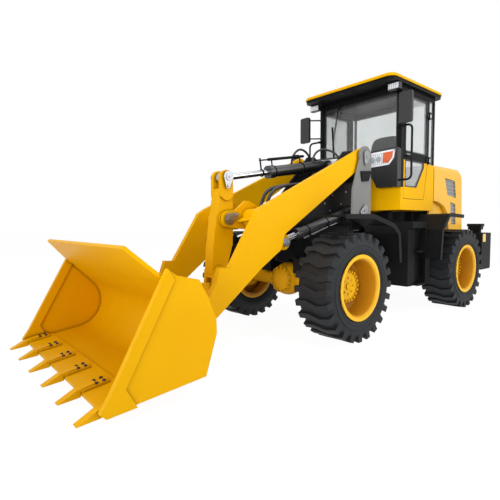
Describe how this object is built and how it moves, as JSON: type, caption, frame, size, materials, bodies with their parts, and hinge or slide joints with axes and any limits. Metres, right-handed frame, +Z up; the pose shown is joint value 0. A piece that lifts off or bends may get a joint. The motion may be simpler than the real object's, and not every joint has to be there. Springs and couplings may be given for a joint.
{
  "type": "wheel loader",
  "caption": "Articulated wheel loader with a toothed front bucket on lifting arms, a glazed cab, a rear engine hood and lugged tyres; it steers at its middle, lifts, dumps and rolls.",
  "frame": {"origin": "on the floor, under the middle of the overall box", "axes": "+X forward towards the bucket, +Y to the operator's left, +Z up"},
  "size_m": [6.406, 2.04, 2.949],
  "materials": {
    "yellow_paint": "glossy deep yellow paint",
    "black_paint": "satin black paint",
    "rim_paint": "glossy yellow paint",
    "axle_paint": "golden yellow paint",
    "tyre_rubber": "matt black rubber",
    "worn_steel": "yellow paint over cast steel",
    "pin_steel": "machined steel",
    "chrome_rod": "hard chrome",
    "tinted_glass": "grey tinted",
    "chair_fabric": "black cloth",
    "moulded_plastic": "grained black",
    "lamp_lens": "clear polycarbonate",
    "engine_iron": "bare casting"
  },
  "bodies": {
    "rear_frame": {"rear_frame": "black_paint", "rear_axle": "axle_paint", "pivot_pins": "pin_steel", "engine": "engine_iron", "counterweight": "black_paint", "rear_fenders": "black_paint", "side_steps": "black_paint", "cab_base": "yellow_paint", "cab_frame": "black_paint", "cab_glass": "tinted_glass", "roof": "yellow_paint", "operator_chair": "chair_fabric", "steering_console": "moulded_plastic", "lamp_housings": "moulded_plastic", "lamp_lenses": "lamp_lens", "mirrors": "moulded_plastic", "grab_rails": "black_paint", "rear_drive_shaft": "engine_iron"},
    "hood": {"hood": "yellow_paint"},
    "left_door": {"left_door": "black_paint", "left_door_glass": "tinted_glass"},
    "right_door": {"right_door": "black_paint", "right_door_glass": "tinted_glass"},
    "front_frame": {"front_frame": "black_paint", "front_axle": "axle_paint", "front_fenders": "black_paint", "tower_pins": "pin_steel", "front_drive_shaft": "engine_iron"},
    "boom": {"left_arm": "yellow_paint", "right_arm": "yellow_paint", "boom_cross_tube": "yellow_paint"},
    "bucket_carrier": {"bucket_pins": "pin_steel"},
    "bucket": {"bucket": "yellow_paint", "bucket_teeth": "worn_steel"},
    "crank_carrier": {"bell_crank_pin": "pin_steel"},
    "bell_crank": {"bell_crank": "yellow_paint"},
    "link_carrier": {"link_pin": "pin_steel"},
    "bucket_link": {"bucket_link": "yellow_paint"},
    "tilt_cylinder": {"tilt_cylinder": "black_paint"},
    "tilt_rod": {"tilt_rod": "chrome_rod"},
    "lift_cylinders": {"lift_cylinders": "black_paint"},
    "lift_rods": {"lift_rods": "chrome_rod"},
    "left_steer_cylinder": {"left_steer_cylinder": "black_paint"},
    "left_steer_rod": {"left_steer_rod": "chrome_rod"},
    "right_steer_cylinder": {"right_steer_cylinder": "black_paint"},
    "right_steer_rod": {"right_steer_rod": "chrome_rod"},
    "front_left_wheel": {"front_left_tyre": "tyre_rubber", "front_left_rim": "rim_paint"},
    "front_right_wheel": {"front_right_tyre": "tyre_rubber", "front_right_rim": "rim_paint"},
    "rear_left_wheel": {"rear_left_tyre": "tyre_rubber", "rear_left_rim": "rim_paint"},
    "rear_right_wheel": {"rear_right_tyre": "tyre_rubber", "rear_right_rim": "rim_paint"}
  },
  "joints": [
    {"name": "steer", "type": "hinge", "parent": "rear_frame", "child": "front_frame", "pos_m": [-0.74, 0, 0.72], "axis": [0, 0, 1], "range_deg": [-35, 35]},
    {"name": "front_left_spin", "type": "hinge", "parent": "front_frame", "child": "front_left_wheel", "pos_m": [0.515, 0.79, 0.54], "axis": [0, 1, 0], "continuous": true},
    {"name": "front_right_spin", "type": "hinge", "parent": "front_frame", "child": "front_right_wheel", "pos_m": [0.515, -0.79, 0.54], "axis": [0, 1, 0], "continuous": true},
    {"name": "rear_left_spin", "type": "hinge", "parent": "rear_frame", "child": "rear_left_wheel", "pos_m": [-1.995, 0.79, 0.54], "axis": [0, 1, 0], "continuous": true},
    {"name": "rear_right_spin", "type": "hinge", "parent": "rear_frame", "child": "rear_right_wheel", "pos_m": [-1.995, -0.79, 0.54], "axis": [0, 1, 0], "continuous": true},
    {"name": "boom_lift", "type": "hinge", "parent": "front_frame", "child": "boom", "pos_m": [-0.19, 0, 1.95], "axis": [0, -1, 0], "range_deg": [-1.5, 68]},
    {"name": "bucket_level", "type": "hinge", "parent": "boom", "child": "bucket_carrier", "pos_m": [2.14, 0, 0.39], "axis": [0, -1, 0], "range_deg": [-68, 1.5]},
    {"name": "bucket_tilt", "type": "hinge", "parent": "bucket_carrier", "child": "bucket", "pos_m": [2.14, 0, 0.39], "axis": [0, 1, 0], "range_deg": [-46, 38]},
    {"name": "crank_level", "type": "hinge", "parent": "boom", "child": "crank_carrier", "pos_m": [1.48, 0, 1.222], "axis": [0, -1, 0], "range_deg": [-0.34, 14.3]},
    {"name": "crank_tilt", "type": "hinge", "parent": "crank_carrier", "child": "bell_crank", "pos_m": [1.48, 0, 1.222], "axis": [0, -1, 0], "range_deg": [-8.12, 6.71]},
    {"name": "link_level", "type": "hinge", "parent": "bell_crank", "child": "link_carrier", "pos_m": [1.588, 0, 0.545], "axis": [0, -1, 0], "range_deg": [-35.72, 0.81]},
    {"name": "link_tilt", "type": "hinge", "parent": "link_carrier", "child": "bucket_link", "pos_m": [1.588, 0, 0.545], "axis": [0, -1, 0], "range_deg": [-8, 9.68]},
    {"name": "tilt_swing", "type": "hinge", "parent": "front_frame", "child": "tilt_cylinder", "pos_m": [-0.1, 0, 1.895], "axis": [0, -1, 0], "range_deg": [-1.55, 69.31]},
    {"name": "tilt_stroke", "type": "slide", "parent": "tilt_cylinder", "child": "tilt_rod", "axis": [0.9863, 0, -0.1652], "range_m": [-0.04257, 0.05143]},
    {"name": "lift_swing", "type": "hinge", "parent": "front_frame", "child": "lift_cylinders", "pos_m": [-0.17, 0, 1.335], "axis": [0, -1, 0], "range_deg": [-1.39, 62.24]},
    {"name": "lift_stroke", "type": "slide", "parent": "lift_cylinders", "child": "lift_rods", "axis": [0.9626, 0, -0.271], "range_m": [-0.01528, 0.67043]},
    {"name": "left_steer_swing", "type": "hinge", "parent": "rear_frame", "child": "left_steer_cylinder", "pos_m": [-0.855, 0.215, 0.72], "axis": [0, 0, 1], "range_deg": [-27.37, 27.37]},
    {"name": "left_steer_stroke", "type": "slide", "parent": "left_steer_cylinder", "child": "left_steer_rod", "axis": [1, 0, 0], "range_m": [-0.12919, 0.12919]},
    {"name": "right_steer_swing", "type": "hinge", "parent": "rear_frame", "child": "right_steer_cylinder", "pos_m": [-0.855, -0.215, 0.72], "axis": [0, 0, 1], "range_deg": [-27.37, 27.37]},
    {"name": "right_steer_stroke", "type": "slide", "parent": "right_steer_cylinder", "child": "right_steer_rod", "axis": [1, 0, 0], "range_m": [-0.12919, 0.12919]},
    {"name": "left_door_swing", "type": "hinge", "parent": "rear_frame", "child": "left_door", "pos_m": [-1.503, 0.654, 2.1], "axis": [0, 0, 1], "range_deg": [0, 85]},
    {"name": "right_door_swing", "type": "hinge", "parent": "rear_frame", "child": "right_door", "pos_m": [-1.503, -0.654, 2.1], "axis": [0, 0, -1], "range_deg": [0, 85]},
    {"name": "hood_lift", "type": "hinge", "parent": "rear_frame", "child": "hood", "pos_m": [-2.762, 0, 1.042], "axis": [0, -1, 0], "range_deg": [0, 60]}
  ],
  "couplings": [
    {"joint": "bucket_level", "follows": "boom_lift", "ratio": -1},
    {"joint": "crank_level", "follows": "boom_lift", "ratio": 0.21},
    {"joint": "crank_tilt", "follows": "bucket_tilt", "ratio": 0.176},
    {"joint": "link_level", "follows": "boom_lift", "ratio": -0.525},
    {"joint": "link_tilt", "follows": "bucket_tilt", "ratio": -0.21},
    {"joint": "tilt_swing", "follows": "boom_lift", "ratio": 1.0189},
    {"joint": "tilt_stroke", "follows": "bucket_tilt", "m_per_rad": -0.063438},
    {"joint": "lift_swing", "follows": "boom_lift", "ratio": 0.91504},
    {"joint": "lift_stroke", "follows": "boom_lift", "m_per_rad": 0.56447},
    {"joint": "left_steer_swing", "follows": "steer", "ratio": 0.78142},
    {"joint": "left_steer_stroke", "follows": "steer", "m_per_rad": -0.21067},
    {"joint": "right_steer_swing", "follows": "steer", "ratio": 0.78142},
    {"joint": "right_steer_stroke", "follows": "steer", "m_per_rad": 0.21067}
  ]
}
